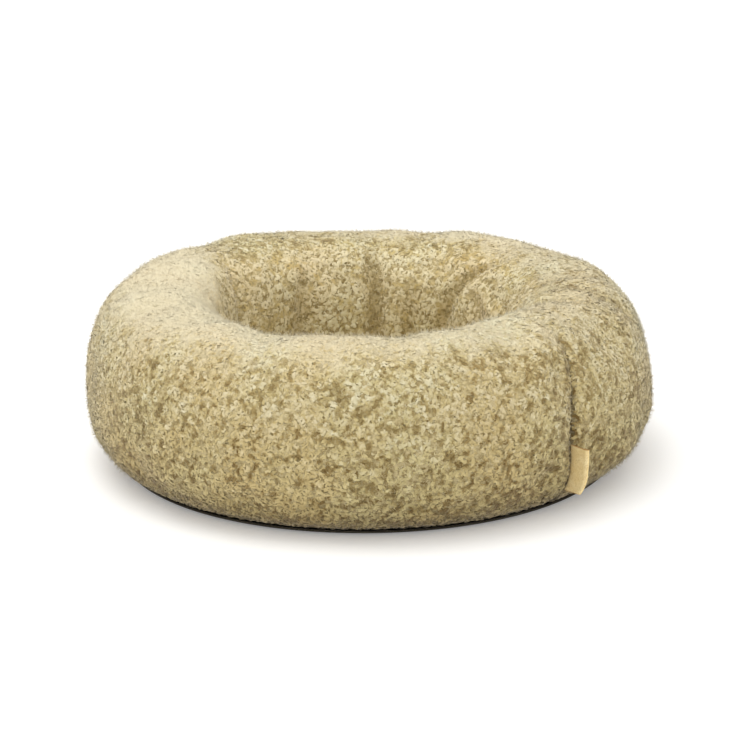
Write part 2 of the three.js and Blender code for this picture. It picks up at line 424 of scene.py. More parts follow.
PILE_STOPS = [
    (0.0, linear(108, 88, 50)),
    (0.25, linear(158, 140, 96)),
    (0.5, linear(200, 185, 139)),
    (0.75, linear(227, 221, 198)),
    (1.0, linear(247, 245, 235)),
]
DRIFT_STOPS = [(0.35, linear(252, 245, 231)), (0.65, linear(253, 254, 247))]
HOLLOW_TINT = linear(255, 250, 238)
# Colour of the crown: pale wool tips, and painted light from the lamp above
CROWN_PALE_TIPS_AND_LIGHT = linear(219, 211, 189)
CROWN_PALE_SHARE = 0.75


def pile_material(name):
    """Curls in their own tones with painted shade and light from their tone mark, pale on the crown from
    pale tips and painted light from above, warm in the hollow, with slow patches of warmer wool.
    """
    material, tree, shader = new_material(name, roughness=0.9, sheen=0.5, sheen_tint=linear(250, 242, 220))
    colour = ramp(tree, PILE_STOPS, attribute(tree, "tone"))
    colour = mixed(tree, "MIX", attribute(tree, "pale_tips_and_light"), colour, CROWN_PALE_TIPS_AND_LIGHT)
    colour = mixed(tree, "MULTIPLY", attribute(tree, "warm"), colour, HOLLOW_TINT)
    drift = ramp(tree, DRIFT_STOPS, noise(tree, scale=14.0, detail=3.0))
    tree.links.new(mixed(tree, "MULTIPLY", 1.0, colour, drift), shader.inputs["Base Color"])
    bump(tree, shader, noise(tree, scale=900.0, detail=2.0), strength=0.35, distance=0.0006)
    return material


GROUND_STOPS = [(0.38, linear(150, 132, 88)), (0.62, linear(206, 189, 143))]
# Paler ground on the crown: pale wool tips, and painted light from above
GROUND_CROWN = linear(224, 213, 182)
# Painted shade of the ground cloth, by its tone mark
PAINTED_SHADE_STOPS = [(0.0, linear(92, 84, 70)), (0.5, linear(255, 255, 255))]


def skin_material(name):
    """The ground cloth between the curls: darker, with a fine curly relief, painted shade by its tone mark
    and a paler crown from pale tips and painted light.
    """
    material, tree, shader = new_material(name, roughness=0.95, sheen=0.2, sheen_tint=linear(236, 222, 190))
    mottle = ramp(tree, GROUND_STOPS, noise(tree, scale=200.0, detail=4.0, roughness=0.6))
    # Paler on the crown: pale wool tips and painted light from above
    mottle = mixed(tree, "MIX", attribute(tree, "calm"), mottle, GROUND_CROWN)
    # Painted shade from the tone mark, in gathers, crown folds, the seam groove and low on the ring
    depth = ramp(tree, PAINTED_SHADE_STOPS, attribute(tree, "tone"))
    tree.links.new(mixed(tree, "MULTIPLY", 1.0, mottle, depth), shader.inputs["Base Color"])
    relief = noise(tree, scale=420.0, detail=5.0, roughness=0.65)
    bump(tree, shader, relief, strength=0.8, distance=0.002)
    return material


# Cloth simulation of the ring's cover

SIM_COLUMNS = 168
SIM_ROWS = 72
SIM_FRAMES = 20
SIM_SMOOTHING = 160
HELD_BELOW = 12.0
HELD_BESIDE_SEAM = 5.0
HELD_INSIDE = (200.0, 232.0)
PUCKER_LIMIT = 3.2


def smooth_table(table, passes):
    """Evens out a table that runs round in both directions, each place with its four neighbours."""
    for _ in range(passes):
        around = np.roll(table, 1, 0) + np.roll(table, -1, 0)
        across = np.roll(table, 1, 1) + np.roll(table, -1, 1)
        table = table / 2.0 + (around + across) / 8.0
    return table


def simulate_ring():
    azimuth = np.arange(SIM_COLUMNS) / SIM_COLUMNS * 360.0
    section = np.arange(SIM_ROWS) / SIM_ROWS * 360.0
    azimuth, section = np.meshgrid(azimuth, section, indexing="ij")
    start, _, _, normal = ring_frame(azimuth, section, -1.0)
    faces = grid_faces(SIM_COLUMNS, SIM_ROWS, True)
    plain = bpy.data.materials.new("sim")
    cover = make_mesh("sim_cover", start.reshape(-1, 3), faces, plain)
    height = start[..., 2]
    held = (height < HELD_BELOW) | (np.abs(seam_distance(azimuth, section)) < HELD_BESIDE_SEAM)
    held |= (section > HELD_INSIDE[0]) & (section < HELD_INSIDE[1])
    group = cover.vertex_groups.new(name="held")
    group.add(np.flatnonzero(held.ravel()).tolist(), 1.0, "REPLACE")
    cloth = cover.modifiers.new("cloth", "CLOTH")
    settings = cloth.settings
    settings.quality = 5
    settings.mass = 0.3
    settings.tension_stiffness = 12.0
    settings.compression_stiffness = 12.0
    settings.shear_stiffness = 6.0
    settings.bending_stiffness = 0.4
    settings.use_pressure = True
    settings.uniform_pressure_force = 4.0
    settings.vertex_group_mass = "held"
    settings.shrink_min = -0.04
    settings.effector_weights.gravity = 0.0
    cloth.point_cache.frame_start = 1
    cloth.point_cache.frame_end = SIM_FRAMES
    scene = bpy.context.scene
    for step in range(1, SIM_FRAMES + 1):
        scene.frame_set(step)
    graph = bpy.context.evaluated_depsgraph_get()
    result = cover.evaluated_get(graph).to_mesh()
    moved = np.zeros(len(result.vertices) * 3, np.float32)
    result.vertices.foreach_get("co", moved)
    moved = moved.reshape(start.shape) / MM
    out = ((moved - start) * normal).sum(-1)
    out = out - smooth_table(out, SIM_SMOOTHING)
    scene.frame_set(1)
    bpy.data.objects.remove(cover)
    return Puckers(np.clip(smooth_table(out, 1), -PUCKER_LIMIT, PUCKER_LIMIT))


# Ground cloth of the ring and the floor cushion

SKIN_COLUMNS = 360
SKIN_ROWS = 120
SKIN_UNEVEN = 0.5
UNEVEN_FROM = 6.0
UNEVEN_FADE = 12.0
PILE_DEPTH = 1.8


def section_lengths(samples=1440):
    """Section angles with the length of the section up to each, starting under the ring."""
    section = np.linspace(-90.0, 270.0, samples + 1)
    radius, height = section_point(section % 360.0)
    steps = np.hypot(np.diff(radius), np.diff(height))
    return section, np.concatenate([[0.0], np.cumsum(steps)])


def sections_at(lengths):
    section, total = section_lengths()
    return np.interp(lengths, total, section)


def make_ring_skin(puckers, material):
    azimuth = np.arange(SKIN_COLUMNS) / SKIN_COLUMNS * 360.0
    _, total = section_lengths()
    section = sections_at(np.arange(SKIN_ROWS) / SKIN_ROWS * total[-1])
    azimuth, section = np.meshgrid(azimuth, section, indexing="ij")
    uneven = RANDOM.uniform(-SKIN_UNEVEN, SKIN_UNEVEN, azimuth.shape)
    points = ring_place(azimuth, section, -PILE_DEPTH, puckers)
    _, _, _, normal = ring_frame(azimuth, section, -PILE_DEPTH, puckers)
    free = np.clip((points[..., 2] - UNEVEN_FROM) / UNEVEN_FADE, 0.0, 1.0)
    points = points + normal * (uneven * free)[..., None]
    points[..., 2] = np.maximum(points[..., 2], UNDERSIDE_HEIGHT)
    # A tone below 0.5 carries the ring's painted shade
    tone = np.clip(0.5 - ring_shade(azimuth, section % 360.0), 0.0, 1.0)
    calm = ring_calm(azimuth, section % 360.0)
    faces = grid_faces(SKIN_COLUMNS, SKIN_ROWS, True)
    return make_mesh("bolster_cover", points.reshape(-1, 3), faces, material, {"tone": tone, "calm": calm})


def cushion_place(azimuth, part, out):
    """Point on the floor cushion's crown at a share of the way to its edge."""
    edge = ring_place(azimuth, np.full_like(azimuth, CUSHION_EDGE_SECTION), GAP)
    edge_radius, edge_height = np.hypot(edge[..., 0], edge[..., 1]), edge[..., 2]
    crown = (1.0 - part ** CUSHION_SQUARENESS) ** (1.0 / CUSHION_SQUARENESS)
    phase = CUSHION_WAVES_AROUND * azimuth + CUSHION_WAVE_TWIST * part
    wave = CUSHION_WAVE * part * np.sin(np.radians(phase))
    height = edge_height + (CUSHION_HEIGHT - edge_height) * crown + wave + out
    return place_at(azimuth, edge_radius * part, height)


CUSHION_COLUMNS = 240
CUSHION_ROWS = 48
CUSHION_MIDDLE = 0.012
CUSHION_EDGE = 0.985
CUSHION_RIM = (236.25, 230.0, 225.0, 219.0)
CUSHION_RIM_GAP = GAP + 0.4
CUSHION_UNDER_MIDDLE = 1.0


def make_cushion_skin(material):
    azimuth = np.arange(CUSHION_COLUMNS) / CUSHION_COLUMNS * 360.0
    part = np.sin(np.linspace(CUSHION_MIDDLE, 1.0, CUSHION_ROWS) * math.pi / 2.0)[::-1] * CUSHION_EDGE
    across, share = np.meshgrid(azimuth, part, indexing="ij")
    crown = cushion_place(across, share, -PILE_DEPTH)
    wide, section = np.meshgrid(azimuth, np.array(CUSHION_RIM), indexing="ij")
    wall = ring_place(wide, section, CUSHION_RIM_GAP)
    low = np.full_like(azimuth, UNDERSIDE_HEIGHT)
    foot = place_at(azimuth, np.full_like(azimuth, CUSHION_FOOT_RADIUS), low)
    inner = place_at(azimuth, np.full_like(azimuth, CUSHION_UNDER_MIDDLE), low)
    columns = np.concatenate([inner[:, None], foot[:, None], wall, crown], axis=1)
    rows = columns.shape[1]
    faces = grid_faces(CUSHION_COLUMNS, rows, True)
    marks = {"tone": np.full(columns.shape[:2], 0.5), "calm": np.zeros(columns.shape[:2])}
    return make_mesh("floor_cover", columns.reshape(-1, 3), faces, material, marks)


# Curls of the pile

CURL_STEPS = 4
CURL_BEND_MIDDLE = 0.35
CURL_ARCH_FROM = 0.08
CURL_ARCH_SPAN = 0.72
CURL_TAPER_FROM = 0.15
CURL_TAPER_SPAN = 0.77
CURL_TAPER_ROUND = 0.6
CURL_SINK = 0.5
SOFT_SHARE = 0.78
CURL_ROUND = 0.3

NUB_SIZE = 6.4
NUB_SALT = 3
NUB_HEIGHT = 1.5
NUB_MIDDLE = 0.45
NUB_DARK_FLATTER = 0.6
HIDDEN_FLATTER = 0.5
INSIDE_FLATTER = 0.2

# size of the patches, salt
FLECK_SMALL = (3.4, 21)
FLECK_LARGE = (5.8, 22)
FLECK_DRIFT = (45.0, 23)
FLECK_SMALL_SHARE = 0.6
FLECK_DRIFT_SHARE = 0.16
FLECK_LIMIT = 0.588
FLECK_EDGE = 0.13
FLECK_LESS_INSIDE = 0.42

PALE_TONE = 0.515
# Painted shade in the valleys between tufts, paler tuft tops
PALE_BY_TUFT = 0.1
# Paler on the crown: pale wool tips and painted light from above
PALE_CALM = 0.06
# Painted shade at the ends of each curl, where it dips to the cloth
PALE_BY_ARCH = 0.03
ARCH_MIDDLE = 0.75
EVEN_CALM = 0.5
EVEN_INSIDE = 0.35


def wool(points):
    """Height of the tufts from 0 to 1, how light each is, and the share of dark yarn, at places in space."""
    tuft, own = nubs(points, NUB_SIZE, NUB_SALT)
    fleck = FLECK_SMALL_SHARE * patches(points, *FLECK_SMALL)
    fleck = fleck + (1.0 - FLECK_SMALL_SHARE) * patches(points, *FLECK_LARGE)
    fleck = fleck + FLECK_DRIFT_SHARE * (patches(points, *FLECK_DRIFT) - 0.5)
    dark = np.clip((fleck - FLECK_LIMIT) / FLECK_EDGE + 0.5, 0.0, 1.0)
    return tuft, own, dark


def curl_points(place, curls, marks):
    """Thin curls lying on the cover, two points across at each step, with the looks of each point."""
    root, along, side, normal = place
    calm, inside, hidden = (marks[key][:, None] for key in ("calm", "inside", "hidden"))
    share = np.linspace(0.0, 1.0, CURL_STEPS + 1)
    heading = curls["heading"][:, None] + curls["bend"][:, None] * (share - CURL_BEND_MIDDLE)
    step = curls["length"][:, None] / CURL_STEPS
    x = np.cumsum(np.cos(heading), 1) * step
    y = np.cumsum(np.sin(heading), 1) * step
    x, y = x - x.mean(1, keepdims=True), y - y.mean(1, keepdims=True)
    centre = root[:, None] + along[:, None] * x[..., None] + side[:, None] * y[..., None]

    tuft, own, dark = wool(centre)
    dark = dark * (1.0 - hidden) * (1.0 - FLECK_LESS_INSIDE * inside)
    arch = np.sin(math.pi * (CURL_ARCH_FROM + CURL_ARCH_SPAN * share))
    flat = 1.0 - HIDDEN_FLATTER * hidden - INSIDE_FLATTER * inside
    on_tuft = NUB_HEIGHT * (tuft - NUB_MIDDLE) * (1.0 - NUB_DARK_FLATTER * dark)
    lift = flat * (curls["height"][:, None] * arch + on_tuft) - CURL_SINK
    centre = centre + normal[:, None] * lift[..., None]

    taper = np.sin(math.pi * (CURL_TAPER_FROM + CURL_TAPER_SPAN * share)) ** CURL_TAPER_ROUND
    half = 0.5 * curls["width"][:, None] * taper
    flank = along[:, None] * -np.sin(heading)[..., None] + side[:, None] * np.cos(heading)[..., None]
    roll = curls["roll"][:, None] + curls["twist"][:, None] * (share - 0.5)
    flank = flank * np.cos(roll)[..., None] - normal[:, None] * np.sin(roll)[..., None]
    points = np.stack([centre + flank * half[..., None], centre - flank * half[..., None]], axis=2)
    face = unit(np.cross(np.gradient(centre, axis=1), flank))
    soft = face * (1.0 - SOFT_SHARE) + normal[:, None] * SOFT_SHARE
    soft = unit(np.stack([soft + flank * CURL_ROUND, soft - flank * CURL_ROUND], axis=2))

    # Painted shade in the valleys between tufts, with each tuft's own tone
    valley_shade_and_tone = PALE_BY_TUFT * (tuft + own - 0.5) * (1.0 - EVEN_CALM * calm - EVEN_INSIDE * inside)
    pale = PALE_TONE + valley_shade_and_tone + PALE_CALM * calm
    # Each curl's own tone, and painted shade at its ends where it dips to the cloth
    pale = pale + curls["tone"][:, None] + PALE_BY_ARCH * (arch - ARCH_MIDDLE)
    # Dark yarn of the flecks, then the ring's painted shade and painted light
    tone = pale * (1.0 - dark) + dark * curls["dark"][:, None] - marks["shade"][:, None]
    # The crown's pale colour share: pale wool tips and painted light from above
    looks = {
        "tone": np.clip(tone, 0.0, 1.0),
        "warm": np.broadcast_to(inside, tone.shape),
        "pale_tips_and_light": CROWN_PALE_SHARE * calm * (1.0 - dark),
    }
    looks = {key: np.repeat(values[..., None], 2, -1).reshape(-1) for key, values in looks.items()}
    return points.reshape(-1, 3), soft.reshape(-1, 3), looks


def curl_faces(count):
    first = np.arange(CURL_STEPS) * 2
    quads = np.stack([first, first + 1, first + 3, first + 2], axis=-1)
    start = np.arange(count) * (CURL_STEPS + 1) * 2
    return (start[:, None, None] + quads[None]).reshape(-1, 4)


CURL_BEND = (1.0, 5.0)
CURL_LENGTH = (4.8, 9.4)
CURL_WIDTH = (1.9, 3.3)
CURL_HEIGHT = (0.45, 1.05)
CURL_ROLL = (-0.1, 0.1)
CURL_TWIST = (-0.3, 0.3)
CURL_TONE_SPREAD = 0.025
CURL_DARK = (0.08, 0.3)


def curl_shapes(count, random):
    """Direction, bend, size and own tone of each curl."""
    return {
        "heading": random.uniform(0.0, 2.0 * math.pi, count),
        "bend": random.choice([-1.0, 1.0], count) * random.uniform(*CURL_BEND, count),
        "length": random.uniform(*CURL_LENGTH, count),
        "width": random.uniform(*CURL_WIDTH, count),
        "height": random.uniform(*CURL_HEIGHT, count),
        "roll": random.uniform(*CURL_ROLL, count),
        "twist": random.uniform(*CURL_TWIST, count),
        "tone": random.normal(0.0, CURL_TONE_SPREAD, count),
        "dark": random.uniform(*CURL_DARK, count),
    }


def make_curls(name, place, marks, random, material):
    curls = curl_shapes(len(place[0]), random)
    points, soft, looks = curl_points(place, curls, marks)
    return make_mesh(name, points, curl_faces(len(place[0])), material, looks, soft)


# Painted shade and light on the ring's wool, and where it is paler or more even

# Painted shade in the creases of the gathers and the crown folds
CREASE_SHADE = 0.27
CREASE_DEPTH = 9.0
CREASE_NARROWER = 0.7
FOLD_SHADE = 0.22
FOLD_DEPTH = 2.6
# Painted shade in the seam groove
SEAM_SHADE = 0.45
SEAM_SHADE_WIDTH = 3.2
# Painted shade low on the ring, deepest near its foot
LOW_SHADE = 0.2
LOW_FROM = 112.0
LOW_TO = 10.0
FOOT_SHADE = 0.22
FOOT_FROM = 40.0
# Painted light on the wall of the hollow
HOLLOW_PAINTED_LIGHT = 0.185
HOLLOW_FROM = 104.0
HOLLOW_FULL = 124.0


def ring_inside(section):
    """0 on the outside and the crown, 1 on the wall of the hollow."""
    return np.clip((section - HOLLOW_FROM) / (HOLLOW_FULL - HOLLOW_FROM), 0.0, 1.0) * (section < 270.0)


def ring_shade(azimuth, section):
    """Painted shade darkening the wool in gathers, crown folds, the seam groove and low on the ring, less
    painted light in the hollow.
    """
    radius, height = section_point(section)
    shade = np.zeros(np.broadcast(azimuth, section).shape)
    # Painted shade in the creases of the gathers and the crown folds
    for high, low, depth, half_width, start in GATHERS:
        tight = (high, low, depth, half_width * CREASE_NARROWER, start)
        pull = fold_pull(tight, GATHER_END, azimuth, section, radius)
        deeper = np.clip((section - start) / (GATHER_END - start), 0.0, 1.0)
        shade += CREASE_SHADE * deeper * pull / CREASE_DEPTH
    for fold in CROWN_FOLDS:
        shade += FOLD_SHADE * fold_pull(fold, CROWN_FOLD_END, azimuth, section, radius) / FOLD_DEPTH
    # Painted shade along the seam groove, fading on the crown
    seam = bell(seam_distance(azimuth, section), SEAM_SHADE_WIDTH) * seam_clearness(section) ** 2
    outside = (section < 90.0) | (section > 270.0)
    # Painted shade low on the outside of the ring and near its foot
    low_down = np.clip((LOW_FROM - height) / (LOW_FROM - LOW_TO), 0.0, 1.0) * outside
    foot = np.clip((FOOT_FROM - height) / FOOT_FROM, 0.0, 1.0) * outside
    shade = shade + SEAM_SHADE * seam + LOW_SHADE * low_down + FOOT_SHADE * foot
    # Painted light on the wall of the hollow
    return shade - HOLLOW_PAINTED_LIGHT * ring_inside(section)


# azimuth, spread
LEFT_SIDE = (-85.0, 50.0)
RIGHT_SIDE = (85.0, 38.0)
FRONT_SIDE = (10.0, 50.0)
BACK_SIDE = (180.0, 70.0)
BACK_MIDDLE = (180.0, 50.0)
BACK_LEFT = (-138.0, 28.0)

CALM_LOW = 64.0
CALM_LOW_LEFT = -12.0
CALM_LOW_BACK = -14.0
CALM_LOW_FRONT = 5.0
CALM_HIGH = 104.0
CALM_HIGH_FRONT = 11.0
CALM_HIGH_LEFT = 46.0
CALM_HIGH_RIGHT = 12.0
CALM_HIGH_BACK_LEFT = -36.0
CALM_FADE_LOW = 38.0
CALM_FADE_HIGH = 26.0
CALM_UNEVEN = 18.0
CALM_TUFTED = 22.0
CALM_UNEVEN_HIGH = 0.9
# size of the patches, salt
CALM_PATCHES = (13.0, 31)
CALM_TUFTS = (4.6, 32)
CALM_SHARE = 0.68
CALM_SHARE_LEFT = 0.2
CALM_SHARE_RIGHT = -0.22
CALM_SHARE_BACK = 0.3


def eased(share):
    share = np.clip(share, 0.0, 1.0)
    return share * share * (3.0 - 2.0 * share)


def nearness(place, azimuth):
    """1 at the middle of a side of the ring, and less with the distance from it."""
    middle, spread = place
    return bell(turn(middle, azimuth), spread)


def ring_calm(azimuth, section):
    """Where pale tips of the wool cover the flecks and painted light from above pales the wool: on the
    crown, most on the left and at the back.
    """
    left, right = nearness(LEFT_SIDE, azimuth), nearness(RIGHT_SIDE, azimuth)
    back, front = nearness(BACK_SIDE, azimuth), nearness(FRONT_SIDE, azimuth)
    low = CALM_LOW + CALM_LOW_LEFT * left + CALM_LOW_BACK * back + CALM_LOW_FRONT * front
    high = CALM_HIGH + CALM_HIGH_FRONT * np.cos(np.radians(azimuth)) + CALM_HIGH_LEFT * left
    high = high + CALM_HIGH_RIGHT * right + CALM_HIGH_BACK_LEFT * nearness(BACK_LEFT, azimuth)
    place = ring_place(azimuth, section, 0.0)
    uneven = CALM_UNEVEN * (patches(place, *CALM_PATCHES) - 0.5)
    uneven = uneven + CALM_TUFTED * (patches(place, *CALM_TUFTS) - 0.5)
    rise = eased((section - low + uneven) / CALM_FADE_LOW + 0.5)
    fall = eased((high - section + CALM_UNEVEN_HIGH * uneven) / CALM_FADE_HIGH + 0.5)
    share = CALM_SHARE + CALM_SHARE_LEFT * left + CALM_SHARE_RIGHT * right + CALM_SHARE_BACK * back
    return share * rise * fall


OPEN_RIGHT = 0.95
OPEN_BACK = 0.35


def ring_hidden(azimuth, section):
    """How far the pale tips hide the flecks: less on the right and at the back, where the wool is open."""
    open_share = OPEN_RIGHT * nearness(RIGHT_SIDE, azimuth)
    open_share = open_share + OPEN_BACK * nearness(BACK_MIDDLE, azimuth)
    return ring_calm(azimuth, section) * (1.0 - open_share)


# Pile of the ring and of the floor

PILE_SPACING = 2.65
PILE_LOW_OUTSIDE = -68.0
PILE_LOW_INSIDE = 212.0
PILE_PIECES = 5
ROOT_JITTER = 0.48
ROW_JITTER = 0.5
SEAM_PARTED = (0.3, 2.9)


def ring_roots(random, spacing):
    """Places of the curls on the ring, evenly spread with a jitter, clear of the seam."""
    section, total = section_lengths()
    low = np.interp(PILE_LOW_OUTSIDE, section, total)
    high = np.interp(PILE_LOW_INSIDE, section, total)
    azimuths, sections = [], []
    for length in np.arange(low, high, spacing):
        radius, _ = section_point(sections_at(np.array([length])) % 360.0)
        count = int(round(2.0 * math.pi * radius[0] / spacing))
        around = np.arange(count) + random.uniform(-ROOT_JITTER, ROOT_JITTER, count)
        azimuths.append(around / count * 360.0)
        sections.append(sections_at(length + random.uniform(-ROW_JITTER, ROW_JITTER, count) * spacing))
    azimuth, section = np.concatenate(azimuths) % 360.0, np.concatenate(sections)
    parted = random.uniform(*SEAM_PARTED, len(azimuth)) * seam_clearness(section % 360.0) ** 2
    clear = np.abs(seam_distance(azimuth, section % 360.0)) > parted
    return azimuth[clear], section[clear]


def make_ring_pile(puckers, material):
    random = np.random.default_rng(PILE_SEED)
    azimuth, section = ring_roots(random, PILE_SPACING)
    pieces = []
    for piece in range(PILE_PIECES):
        low, high = 360.0 * piece / PILE_PIECES, 360.0 * (piece + 1) / PILE_PIECES
        chosen = (azimuth >= low) & (azimuth < high)
        place = ring_frame(azimuth[chosen], section[chosen], -PILE_DEPTH, puckers)
        turned = section[chosen] % 360.0
        marks = {
            "shade": ring_shade(azimuth[chosen], turned),
            "calm": ring_calm(azimuth[chosen], turned),
            "hidden": ring_hidden(azimuth[chosen], turned),
            "inside": ring_inside(turned),
        }
        pieces.append(make_curls(f"bolster_pile_{piece + 1}", place, marks, random, material))
    return pieces


FUZZ_SPACING = 2.9
FUZZ_ROOT = -1.6
FUZZ_LENGTH = (3.2, 6.2)
FUZZ_LEAN = (0.3, 1.6)
FUZZ_HALF = 0.2
FUZZ_TONE = 0.66
FUZZ_TONE_SPREAD = 0.05
FUZZ_DARK = 0.3
FUZZ_ABOVE = 14.0
FUZZ_CORNERS = (0.0, 120.0, 240.0)


def make_ring_fuzz(puckers, material):
    """Fine single hairs that stand out of the curls and soften the outline."""
    random = np.random.default_rng(FUZZ_SEED)
    azimuth, section = ring_roots(random, FUZZ_SPACING)
    high_up = section_point(section % 360.0)[1] > FUZZ_ABOVE
    azimuth, section = azimuth[high_up], section[high_up]
    root, along, side, normal = ring_frame(azimuth, section, FUZZ_ROOT, puckers)
    count = len(azimuth)
    heading = random.uniform(0.0, 2.0 * math.pi, count)[:, None]
    lean = random.uniform(*FUZZ_LEAN, count)[:, None]
    ahead = along * np.cos(heading) + side * np.sin(heading)
    flank = side * np.cos(heading) - along * np.sin(heading)
    length = random.uniform(*FUZZ_LENGTH, count)[:, None]
    tip = root + (normal + ahead * lean) * length / np.sqrt(1.0 + lean ** 2)
    foot = [ahead * math.cos(angle) + flank * math.sin(angle) for angle in np.radians(FUZZ_CORNERS)]
    points = np.stack([root + FUZZ_HALF * away for away in foot] + [tip], axis=1)
    corners = points.shape[1]
    faces = np.arange(count)[:, None, None] * corners + np.array([[0, 1, 3], [1, 2, 3], [2, 0, 3]])
    turned = section % 360.0
    _, _, dark = wool(root)
    dark = dark * (1.0 - ring_hidden(azimuth, turned))
    # The ring's painted shade and painted light, as on the curls
    tone = FUZZ_TONE * (1.0 - dark) + FUZZ_DARK * dark - ring_shade(azimuth, turned)
    tone = tone + random.normal(0.0, FUZZ_TONE_SPREAD, count)
    # The crown's pale colour share: pale wool tips and painted light from above
    marks = {
        "tone": np.clip(tone, 0.0, 1.0),
        "warm": ring_inside(turned),
        "pale_tips_and_light": CROWN_PALE_SHARE * ring_calm(azimuth, turned) * (1.0 - dark),
    }
    marks = {key: np.repeat(values, corners) for key, values in marks.items()}
    soft = np.repeat(normal, corners, axis=0)
    return make_mesh("bolster_fuzz", points.reshape(-1, 3), faces.reshape(-1, 3), material, marks, soft)


FLOOR_SPACING = 2.8
FLOOR_ROWS = (2.0, 122.0)
FLOOR_FEWEST = 4
FLOOR_ROW_JITTER = 1.4
FLOOR_LIMITS = (0.5, 126.0)
FLOOR_RADIUS = 132.0
FLOOR_AROUND_STEP = 0.5
FLOOR_PART_STEP = 0.002


def make_floor_pile(material):
    random = np.random.default_rng(FLOOR_SEED)
    azimuths, parts = [], []
    for radius in np.arange(*FLOOR_ROWS, FLOOR_SPACING):
        count = max(FLOOR_FEWEST, int(round(2.0 * math.pi * radius / FLOOR_SPACING)))
        around = np.arange(count) + random.uniform(-ROOT_JITTER, ROOT_JITTER, count)
        azimuths.append(around / count * 360.0)
        radii = radius + random.uniform(-FLOOR_ROW_JITTER, FLOOR_ROW_JITTER, count)
        parts.append(radii.clip(*FLOOR_LIMITS) / FLOOR_RADIUS)
    azimuth, part = np.concatenate(azimuths), np.concatenate(parts)
    here = cushion_place(azimuth, part, -PILE_DEPTH)
    after = cushion_place(azimuth + FLOOR_AROUND_STEP, part, 0.0)
    before = cushion_place(azimuth - FLOOR_AROUND_STEP, part, 0.0)
    outer = cushion_place(azimuth, part + FLOOR_PART_STEP, 0.0)
    inner = cushion_place(azimuth, part - FLOOR_PART_STEP, 0.0)
    around = unit(after - before)
    normal = unit(np.cross(outer - inner, around))
    place = (here, around, np.cross(normal, around), normal)
    plain = np.zeros(len(azimuth))
    marks = {"shade": plain, "calm": plain, "hidden": plain, "inside": plain + 1.0}
    return make_curls("floor_pile", place, marks, random, material)


# Base cloth and tab

BASE_COLUMNS = 240
# radius, height
BASE_RIM = [
    (0.05, 0.0), (60.0, 0.0), (120.0, 0.0), (170.0, 0.0), (211.5, 0.0), (216.0, 1.2), (218.2, 2.6),
    (217.2, 4.0), (213.4, 2.0), (170.0, 2.0), (120.0, 2.0), (60.0, 2.0), (0.05, 2.0),
]


def make_base(material):
    azimuth = np.arange(BASE_COLUMNS) / BASE_COLUMNS * 360.0
    rim = np.array(BASE_RIM)
    around, radius = np.meshgrid(azimuth, rim[:, 0], indexing="ij")
    points = place_at(around, radius, np.broadcast_to(rim[:, 1], radius.shape))
    faces = grid_faces(BASE_COLUMNS, len(rim), True)
    return make_mesh("base_cloth", points.reshape(-1, 3), faces, material)


WEAVE_SCALE = 260.0
WEAVE_STOPS = [(0.1, linear(48, 45, 39)), (0.7, linear(104, 97, 85))]
WORN_STOPS = [(0.3, linear(205, 200, 190)), (0.7, linear(255, 255, 255))]


def threads(tree, direction):
    node = tree.nodes.new("ShaderNodeTexWave")
    node.bands_direction = direction
    node.inputs["Scale"].default_value = WEAVE_SCALE
    node.inputs["Distortion"].default_value = 0.6
    place = tree.nodes.new("ShaderNodeTexCoord")
    tree.links.new(place.outputs["Object"], node.inputs["Vector"])
    return node.outputs["Color"]


def base_material():
    """Dense dark weave, darker in slow patches."""
    tint = linear(120, 118, 112)
    material, tree, shader = new_material("base_cloth", roughness=0.85, sheen=0.1, sheen_tint=tint)
    weave = mixed(tree, "MULTIPLY", 1.0, threads(tree, "X"), threads(tree, "Y"))
    shades = ramp(tree, WEAVE_STOPS, weave)
    worn = ramp(tree, WORN_STOPS, noise(tree, scale=30.0, detail=4.0))
    tree.links.new(mixed(tree, "MULTIPLY", 1.0, shades, worn), shader.inputs["Base Color"])
    bump(tree, shader, weave, strength=0.6, distance=0.0005)
    return material


TAB_TOP = 64.3
TAB_BOTTOM = 22.2
TAB_TOP_REACH = 18.8
TAB_BOTTOM_REACH = 16.3
TAB_LEAF = 1.1
TAB_ROOT_HALF = 0.9
TAB_FOLD_HALF = 1.65
TAB_LEVELS = 36
TAB_FOLD_POINTS = 13
TAB_SIDE_POINTS = 13
TAB_SPREAD_POWER = 1.5
TAB_SKEW = 1.7
# first and last section angle, steps
TAB_SECTIONS = (-75.0, 5.0, 161)
TAB_SEWN_IN = 0.6
TAB_HALF_SHARE = 0.55
TAB_END_SHARE = 0.35
TAB_ROUNDED_END = 0.012
TAB_CURL = 1.3
TAB_CURL_TURN = 2.6
TAB_CURL_START = 0.4
TAB_LEAN = 0.9
TAB_RIPPLE = 0.5
TAB_RIPPLE_TURN = 5.0
TAB_EDGE_BAND = 1.4
TAB_FOLD_BAND = 3.0


def tab_path(reach):
    """Middle line of the folded leaf, outwards and sideways: along one layer, round the fold and back."""
    bend = np.radians(np.linspace(-90.0, 90.0, TAB_FOLD_POINTS))
    centre = reach - TAB_FOLD_HALF
    fold = np.stack([centre + TAB_FOLD_HALF * np.cos(bend), TAB_FOLD_HALF * np.sin(bend)], axis=-1)
    share = np.linspace(0.0, 1.0, TAB_SIDE_POINTS + 1)[:-1]
    side = TAB_ROOT_HALF + (TAB_FOLD_HALF - TAB_ROOT_HALF) * share ** TAB_SPREAD_POWER
    layer = np.stack([centre * share, -side], axis=-1)
    return np.concatenate([layer, fold, layer[::-1] * (1.0, -1.0)])


def tab_roots(heights):
    """Radius of the ring's surface in the seam at these heights, low on the ring."""
    section = np.linspace(*TAB_SECTIONS)
    line = ring_place(seam_azimuth(section % 360.0), section, 0.0)
    return np.interp(heights, line[:, 2], np.hypot(line[:, 0], line[:, 1]))


